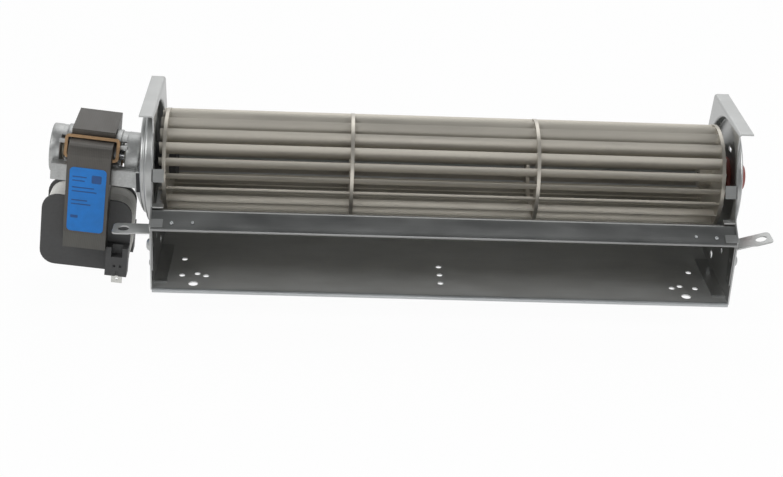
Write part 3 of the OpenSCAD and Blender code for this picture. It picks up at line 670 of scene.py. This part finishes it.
class BLOWER_OT_housing(bpy.types.Operator):
    """Builds the end plates and the tongue with their folds, ears and bumps, and finishes the scroll"""

    bl_idname = "blower.housing"
    bl_label = "Housing"

    def execute(self, context):
        zinc = galvanised_sheet("galvanised sheet", 0.85, 0.34)
        # inside of the duct the zinc colour is raised 1.25 times and made less metallic: painted light for
        # the dim duct
        duct_sheet_painted_lighter = galvanised_sheet("galvanised sheet, inside of the duct, painted lighter", 0.6, 0.42, 1.25)
        put(zinc, "mount_clips")
        put(duct_sheet_painted_lighter, "scroll")
        put(bright_metal("zinc plated rivet", linear("#b4b6b7"), 0.35), "clip_rivets")
        # end plates
        mesh = end_plate(((CUP_R, CUP_OUT[1]),), ((16.6, 19), (-19, -16.6)), EAR_LEAN[1])
        plate = make("end_plate_sheet_right", mesh, zinc, "housing")
        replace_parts(plate, "end_plate_right")
        steps = ((CUP_R, 5.0), (CUP_R - 5, CUP_OUT[-1]))
        mesh = end_plate(steps, ((17, 23), (-23, -17)), EAR_LEAN[-1])
        mirror = Matrix.Diagonal((-1, 1, 1, 1))
        plate = make("end_plate_sheet_left", mesh, zinc, "housing", mirror)
        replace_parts(plate, "end_plate_left")
        # tongue: one bent sheet, slightly curved across its face, with a flap at each end
        mesh = bmesh.new()
        fold = [
            TONGUE_LOW + Vector((0, 0.4, -0.6)),
            TONGUE_LOW,
            TONGUE_LOW.lerp(TONGUE_TOP, 0.5) - Vector((0, 0, 0.4)),
            TONGUE_TOP,
            Vector((0, -28.2, 35.2)),
            Vector((0, -29.2, 31.2)),
        ]
        edges = line(mesh, [p + Vector((-HALF_W, 0, 0)) for p in fold], {1: 0.5, 2: 3.5, 3: 1.2, 4: 1.0})
        folded(mesh, edges, (2 * HALF_W, 0, 0), (0, -0.3, 1))
        flap = [(-56.2, 39.8), (-46.5, 45.5), (-43.5, 43.8), (-48, 11.5), (-55.4, 11.5), (-55.4, 37.6)]
        for x in (-HALF_W, HALF_W - SHEET):
            loops = [line(mesh, [(x, y, z) for y, z in flap], 0.5, close=True, steps=3)]
            loops += [circle(mesh, (x, BUMP_Y, z), PLUG_HOLE_R, steps=24) for z, radius, proud in BUMPS]
            sheet(mesh, loops, (SHEET, 0, 0))
        # the tongue's zinc colour is cut to 0.62 of the housing's: painted shade, for the dark room it
        # mirrors
        dark = galvanised_sheet("galvanised sheet, tongue, painted darker", 0.95, 0.34, 0.62)
        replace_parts(make("tongue_sheet", mesh, dark, "housing"), "tongue")
        # small dimples pressed up in the tongue near both ends
        mesh = bmesh.new()
        rise = TONGUE_TOP - TONGUE_LOW
        out = Vector((0, -rise.z, rise.y)).normalized()
        for side in (-1, 1):
            for x, up, radius in ((152.6, 0.32, 1.1), (141.0, 0.36, 0.9)):
                centre = TONGUE_LOW + rise * up + out * (SHEET * 0.95 + 0.28)
                centre += Vector((side * x, 0, 0))
                slope = rise.normalized() * radius
                profile = ((0.0, -0.2), (1.0, -0.2), (0.92, 0.1), (0.66, 0.32), (0.36, 0.42), (0.0, 0.46))
                turned(mesh, line(mesh, [centre + slope * r + out * h for r, h in profile]), centre, out, 24)
        hem = burnished_hem()
        make("tongue_dimples", mesh, hem, "housing", sharp=60)
        # rolled hem along the outlet
        mesh = bmesh.new()
        radius = context.scene.blower_sizes.hem / MM
        sheet(mesh, [circle(mesh, (-HALF_W, FRONT_Y - 0.2, 0.0), radius, steps=24)], (2 * HALF_W, 0, 0))
        make("outlet_hem", mesh, hem, "housing")
        # pressed bumps on the outside of the plates, and the plugs behind them
        mesh = bmesh.new()
        for side in (-1, 1):
            for z, radius, proud in BUMPS:
                centre = Vector((side * (HALF_W + SHEET), BUMP_Y, z))
                profile = [(-1.65, 0), (-1.65, 1.28), (-0.1, 1.28), (-0.1, radius), (0.0, radius)]
                dome = ((0.3, 0.86), (0.74, 0.72), (0.96, 0.5), (1, 0))
                profile += [(x * proud, r * radius) for x, r in dome]
                points = [centre + Vector((side * x, 0, r)) for x, r in profile]
                turned(mesh, line(mesh, points), centre, steps=40)
        bumps = make("pressed_bumps", mesh, zinc, "housing", sharp=50)
        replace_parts(bumps, "plate_rivets")
        return {"FINISHED"}


class BLOWER_OT_impeller(bpy.types.Operator):
    """Builds the smooth blades and finishes the discs and rings, the hub and the shafts"""

    bl_idname = "blower.impeller"
    bl_label = "Impeller"

    def execute(self, context):
        sizes = context.scene.blower_sizes
        colour = tuple(context.scene.blower_colours.impeller)
        # one blade: its thickness swept round the arc's middle, then pushed along X
        rho = (FAN_R**2 - BLADE_RI**2) / (2 * FAN_R * math.cos(BLADE_ANGLE))
        rc = math.hypot(BLADE_RI, rho)
        lean = math.atan(rho / BLADE_RI)
        first = math.acos((rc**2 + rho**2 - BLADE_RI**2) / (2 * rc * rho))
        last = math.acos((rc**2 + rho**2 - FAN_R**2) / (2 * rc * rho))
        mesh = bmesh.new()
        middle = Vector((BLADE_ENDS[0], rc * math.cos(lean), rc * math.sin(lean)))
        start = lean + math.pi - first
        radii = (rho - BLADE_T / 2, rho, rho + BLADE_T / 2)
        section = [middle + Vector((0, r * math.cos(start), r * math.sin(start))) for r in radii]
        edges = line(mesh, section)
        bmesh.ops.spin(
            mesh,
            geom=corners(edges) + edges,
            cent=middle,
            axis=(1, 0, 0),
            dvec=(0, 0, 0),
            angle=-(last - first),
            steps=sizes.arc_steps,
            use_merge=False,
            use_normal_flip=False,
            use_duplicate=False,
        )
        out = bmesh.ops.extrude_face_region(mesh, geom=mesh.faces[:])
        moved = [item for item in out["geom"] if isinstance(item, bmesh.types.BMVert)]
        bmesh.ops.translate(mesh, verts=moved, vec=(BLADE_ENDS[1] - BLADE_ENDS[0], 0, 0))
        bmesh.ops.rotate(mesh, cent=(0, 0, 0), matrix=Matrix.Rotation(BLADE_TURN, 3, "X"), verts=mesh.verts)
        bmesh.ops.recalc_face_normals(mesh, faces=mesh.faces)
        bmesh.ops.spin(
            mesh,
            geom=mesh.verts[:] + mesh.edges[:] + mesh.faces[:],
            cent=(0, 0, 0),
            axis=(1, 0, 0),
            dvec=(0, 0, 0),
            angle=math.tau * (BLADES - 1) / BLADES,
            steps=BLADES - 1,
            use_merge=False,
            use_normal_flip=False,
            use_duplicate=True,
        )
        blades = make(
            "curved_blades",
            mesh,
            impeller_sheet("aluminised blade", colour, 0.55),
            "impeller",
            Matrix.Translation((0, 0, AXIS_H)),
            sharp=45,
        )
        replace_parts(blades, "blades")
        put(impeller_sheet("aluminised ring", colour, 0.42), "support_rings", "drive_disc", "bearing_disc")
        steel = bright_metal("ground steel", linear("#b9bbbd"), 0.25)
        put(steel, "rotor_shaft")
        # stub shaft with rounded ends, half of its section turned round the axis
        mesh = bmesh.new()
        start, end, radius = 151.1, HALF_W + 13.0, 2.5
        section = [(start, 0, 0), (start, 0, radius), (end, 0, radius), (end, 0, 0)]
        turned(mesh, line(mesh, section, 0.4), (0, 0, 0), steps=32)
        on_axis = Matrix.Translation((0, 0, AXIS_H))
        shaft = make("stub_shaft_ground", mesh, steel, "impeller", on_axis)
        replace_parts(shaft, "stub_shaft")
        put(moulded("black rubber", linear("#2b2b2d"), 0.65, 0.002), "drive_hub", "isolators")
        return {"FINISHED"}


class BLOWER_OT_bearings(bpy.types.Operator):
    """Builds the right bearing's rubber boss and sleeve and finishes the other bearings and the felts"""

    bl_idname = "blower.bearings"
    bl_label = "Bearings"

    def execute(self, context):
        bronze = bright_metal("sintered bronze", linear("#93754f"), 0.45, 0.9)
        put(bronze, "drive_ball", "motor_bearings")
        put(woven_tape("oil felt", linear("#d9d3c2")), "oil_felts")
        at = Matrix.Translation((HALF_W, 0, AXIS_H))
        # rubber boss: a lip inside the cup's floor and a longer, stepped one outside
        section = [(2, 5), (1.4, 7), (1.4, 11), (2.2, 12), (4, 12), (4, 9), (4.8, 9), (4.8, 11.5)]
        section += [(7.2, 11.5), (9.8, 10.4), (12, 8.6), (13.8, 7.2), (13.8, 5)]
        mesh = bmesh.new()
        edges = line(mesh, [(x, 0, r) for x, r in section], 0.3, close=True, steps=3)
        turned(mesh, edges, (0, 0, 0), steps=64)
        red = moulded("red silicone rubber", linear("#8a4740"), 0.5, 0.002)
        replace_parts(make("rubber_boss", mesh, red, "housing", at), "bearing_rubber")
        section = ((0, 2.54), (0, 5), (11.8, 5), (11.8, 2.54))
        mesh = bmesh.new()
        edges = line(mesh, [(x, 0, r) for x, r in section], 0.3, close=True, steps=3)
        turned(mesh, edges, (0, 0, 0), steps=48)
        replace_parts(make("sleeve_turned", mesh, bronze, "housing", at), "bearing_sleeve")
        return {"FINISHED"}


class BLOWER_OT_core(bpy.types.Operator):
    """Finishes the core and the rotor and bends the shading rings from strap"""

    bl_idname = "blower.core"
    bl_label = "Core"

    def execute(self, context):
        colours = context.scene.blower_colours
        light = 1.15
        blued = lamination_steel("blued laminations", tuple(colours.lamination), light)
        put(blued, "core_frame", "rotor_core")
        put(lamination_steel("bright laminations", linear("#5a5955"), light), "core_yoke")
        put(bright_metal("cast aluminium cage", linear("#a9abad"), 0.4), "rotor_cage")
        # shading rings: a flat copper strap in a closed loop, one in front and one behind
        mesh = bmesh.new()
        strap = 3.2
        loops = []
        for inset, bend in ((0.0, 2.4), (1.8, 0.8)):
            x, y, z = HALF_STACK + 3.3 - inset, 6.85 - inset, -strap / 2
            loops.append(line(mesh, [(-x, -y, z), (x, -y, z), (x, y, z), (-x, y, z)], bend, close=True))
        verts = sheet(mesh, loops, (0, 0, strap))
        turn = Matrix.Rotation(math.radians(68), 4, "X")
        moved_by(Matrix.Translation((0, -12.2, 7.2)) @ turn, verts, mesh)
        out = bmesh.ops.duplicate(mesh, geom=mesh.verts[:] + mesh.edges[:] + mesh.faces[:])
        copy = [item for item in out["geom"] if isinstance(item, bmesh.types.BMVert)]
        moved_by(Matrix.Rotation(math.pi, 4, "X"), copy, mesh)
        copper = bright_metal("copper strap", tuple(colours.copper), 0.45, 0.8)
        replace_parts(make("shading_straps", mesh, copper, "housing", MOTOR), "shading_rings")
        return {"FINISHED"}


class BLOWER_OT_coil(bpy.types.Operator):
    """Finishes the bobbin and the terminals and wraps the coil with tape"""

    bl_idname = "blower.coil"
    bl_label = "Coil"

    def execute(self, context):
        colours = context.scene.blower_colours
        sizes = context.scene.blower_sizes
        put(moulded("glass filled nylon", tuple(colours.bobbin), 0.55, 0.0015), "bobbin")
        put(moulded("acetal", linear("#e6e0cf"), 0.4, 0.002), "thrust_washers")
        put(bright_metal("enamelled copper wire", linear("#a8683c"), 0.3), "winding")
        tape = woven_tape("cotton coil tape", tuple(colours.tape))
        put(tape, "coil_tape")
        put(bright_metal("tinned brass", linear("#c9c9c5"), 0.3), "terminals")
        # two turns of tape side by side over the coil, with a narrow seam between them
        mesh = bmesh.new()
        for y0, y1 in ((-10.8, -0.6), (0.3, 10.8)):
            corner = [(-24.7, y0, -67.7), (25.1, y0, -67.7), (25.1, y0, -25.9), (-24.7, y0, -25.9)]
            edges = line(mesh, corner, 9.3, close=True, steps=8)
            folded(mesh, edges, (0, y1 - y0, 0), thickness=sizes.tape / MM)
        make("tape_turns", mesh, tape, "housing", MOTOR)
        return {"FINISHED"}


class BLOWER_OT_brackets(bpy.types.Operator):
    """Casts the two brackets of the motor and finishes their screws"""

    bl_idname = "blower.brackets"
    bl_label = "Brackets"

    def execute(self, context):
        cast = die_casting()
        middle = (0, 0, 0)
        # for each bracket: the base ring at the core, the drum, the bars, the web between them,
        # and the side of the drum on which its pocket for the felt opens
        for name, ring, drum, bar, web, way in (
            ("bracket_left", (-15.25, -12.25), (-24.1, -18.0), (-21.7, -12.25), (-19.0, -14.25), 1),
            ("bracket_right", (12.25, 15.75), (18.8, 27.0), (12.25, 31.0), (14.75, 19.8), -1),
        ):
            mesh = bmesh.new()
            face, end = (drum[1], drum[0]) if way > 0 else drum
            floor = face - way * 3.6
            section = ((end, 5), (end, 14), (face, 14), (face, 9.5), (floor, 9.5), (floor, 5))
            edges = line(mesh, [(x, 0, r) for x, r in section], {1: 0.9, 2: 0.6}, close=True, steps=3)
            turned(mesh, edges, middle, steps=64)
            # the base ring leaves room for the shading straps, so it is two arcs
            for start, sweep in ((1.4, 124.0), (181.4, 124.0)):
                corner = [(ring[0], 0, 12), (ring[0], 0, 14.6), (ring[1], 0, 14.6), (ring[1], 0, 12)]
                edges = line(mesh, corner, 0.4, close=True, steps=2)
                moved_by(Matrix.Rotation(math.radians(start - 90), 4, "X"), corners(edges), mesh)
                turned(mesh, edges, middle, steps=32, angle=math.radians(sweep))
            # curved web at the top and a rib on the front
            corner = [(web[0], 0, 12.2), (web[0], 0, 13.8), (web[1], 0, 13.8), (web[1], 0, 12.2)]
            edges = line(mesh, corner, close=True)
            moved_by(Matrix.Rotation(math.radians(-33), 4, "X"), corners(edges), mesh)
            turned(mesh, edges, middle, steps=12, angle=math.radians(66))
            block(mesh, (web[0], -11.4, 8), (web[1], -8.4, 10), 0.3)
            # two bars; the right ones end square against the clips, the left ones hold the screws' heads
            bars = bmesh.new()
            for y0 in (-20.0, 13.0):
                x0, x1 = bar
                y1, z0, z1 = y0 + 7.0, -11.3, -1.3
                if way > 0:
                    depth = 2.4
                    mouth = [(x0, y0, z0), (x0, y1, z0), (x0, y1, z1), (x0, y0, z1)]
                    screw = (x0, math.copysign(SCREW[0], y0), SCREW[1])
                    loops = [line(bars, mouth, close=True), circle(bars, screw, 2.7)]
                    sheet(bars, loops, (depth, 0, 0))
                    x0 += depth
                block(bars, (x0, y0, z0), (x1, y1, z1), 0.0 if way > 0 else 0.5)
            if way < 0:
                moved_by(MOTOR, bars.verts, bars)
                geom = bars.verts[:] + bars.edges[:] + bars.faces[:]
                cut = bmesh.ops.bisect_plane(
                    bars, geom=geom, plane_co=(CLIP_X, 0, 0), plane_no=(1, 0, 0), clear_outer=True
                )
                rim = [item for item in cut["geom_cut"] if isinstance(item, bmesh.types.BMEdge)]
                bmesh.ops.edgenet_fill(bars, edges=rim)
                moved_by(MOTOR.inverted(), bars.verts, bars)
            data = bpy.data.meshes.new("bars")
            bars.to_mesh(data)
            bars.free()
            mesh.from_mesh(data)
            bpy.data.meshes.remove(data)
            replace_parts(make("cast_" + name, mesh, cast, "housing", MOTOR), name)
        # screws: the head sits in the left bracket's bar
        mesh = bmesh.new()
        for side in (-1, 1):
            centre = Vector((0, side * SCREW[0], SCREW[1]))
            section = ((-21.4, 0), (-21.4, 2.6), (-19.3, 2.6), (-19.3, 2), (21.4, 2), (21.4, 0))
            edges = line(mesh, [centre + Vector((x, 0, r)) for x, r in section], {1: 0.5})
            turned(mesh, edges, centre, steps=32)
        plated = bright_metal("zinc plated screw", linear("#b3b3ae"), 0.35)
        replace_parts(make("screws_turned", mesh, plated, "housing", MOTOR), "through_screws")
        return {"FINISHED"}


class BLOWER_OT_label(bpy.types.Operator):
    """Finishes the blue label and prints plain bars on it"""

    bl_idname = "blower.label"
    bl_label = "Label"

    def execute(self, context):
        put(moulded("blue polyester film", tuple(context.scene.blower_colours.label), 0.4, 0.004), "label")
        # a plain field and rows of plain bars, as a generic rating label has
        mesh = bmesh.new()
        bars = [(2.2, -4.6, 5.6, 5.0), (-8.6, -6.0, 8.0, 0.7), (-8.6, -8.4, 7.0, 0.7)]
        bars += [(-8.6, -12.6, 12.5, 0.7), (-8.6, -15.0, 14.0, 0.7), (-8.6, -20.6, 9.0, 0.7)]
        bars += [(-8.6, -23.0, 11.0, 0.7), (-8.6, -30.4, 4.2, 1.8)]
        y = -23.64
        for x, z, width, height in bars:
            corner = [(x, y, z - height), (x + width, y, z - height), (x + width, y, z), (x, y, z)]
            sheet(mesh, [line(mesh, corner, height * 0.15, close=True, steps=3)], (0, -0.05, 0))
        ink = moulded("navy ink", linear("#1d4c86"), 0.5, 0.003)
        make("label_print", mesh, ink, "housing", MOTOR)
        return {"FINISHED"}


STEPS = (
    BLOWER_OT_view,
    BLOWER_OT_housing,
    BLOWER_OT_impeller,
    BLOWER_OT_bearings,
    BLOWER_OT_core,
    BLOWER_OT_coil,
    BLOWER_OT_brackets,
    BLOWER_OT_label,
    BLOWER_OT_stage,
)


class BLOWER_PT_panel(bpy.types.Panel):
    """Lists the steps and the sizes and colours"""

    bl_idname = "BLOWER_PT_panel"
    bl_label = "Range Blower"
    bl_space_type = "VIEW_3D"
    bl_region_type = "UI"
    bl_category = "Blower"

    def draw(self, context):
        for step in STEPS:
            self.layout.operator(step.bl_idname)
        for group in (context.scene.blower_sizes, context.scene.blower_colours):
            box = self.layout.box()
            for key in group.bl_rna.properties.keys():
                if key not in ("rna_type", "name"):
                    box.prop(group, key)


CLASSES = (BlowerSizes, BlowerColours, *STEPS, BLOWER_PT_panel)


def register():
    for cls in CLASSES:
        bpy.utils.register_class(cls)
    bpy.types.Scene.blower_sizes = bpy.props.PointerProperty(type=BlowerSizes)
    bpy.types.Scene.blower_colours = bpy.props.PointerProperty(type=BlowerColours)


def unregister():
    del bpy.types.Scene.blower_colours
    del bpy.types.Scene.blower_sizes
    for cls in reversed(CLASSES):
        bpy.utils.unregister_class(cls)


def main():
    register()
    bpy.ops.blower.view()
    bpy.ops.blower.housing()
    bpy.ops.blower.impeller()
    bpy.ops.blower.bearings()
    bpy.ops.blower.core()
    bpy.ops.blower.coil()
    bpy.ops.blower.brackets()
    bpy.ops.blower.label()
    bpy.ops.blower.stage()


if __name__ == "__main__":
    main()
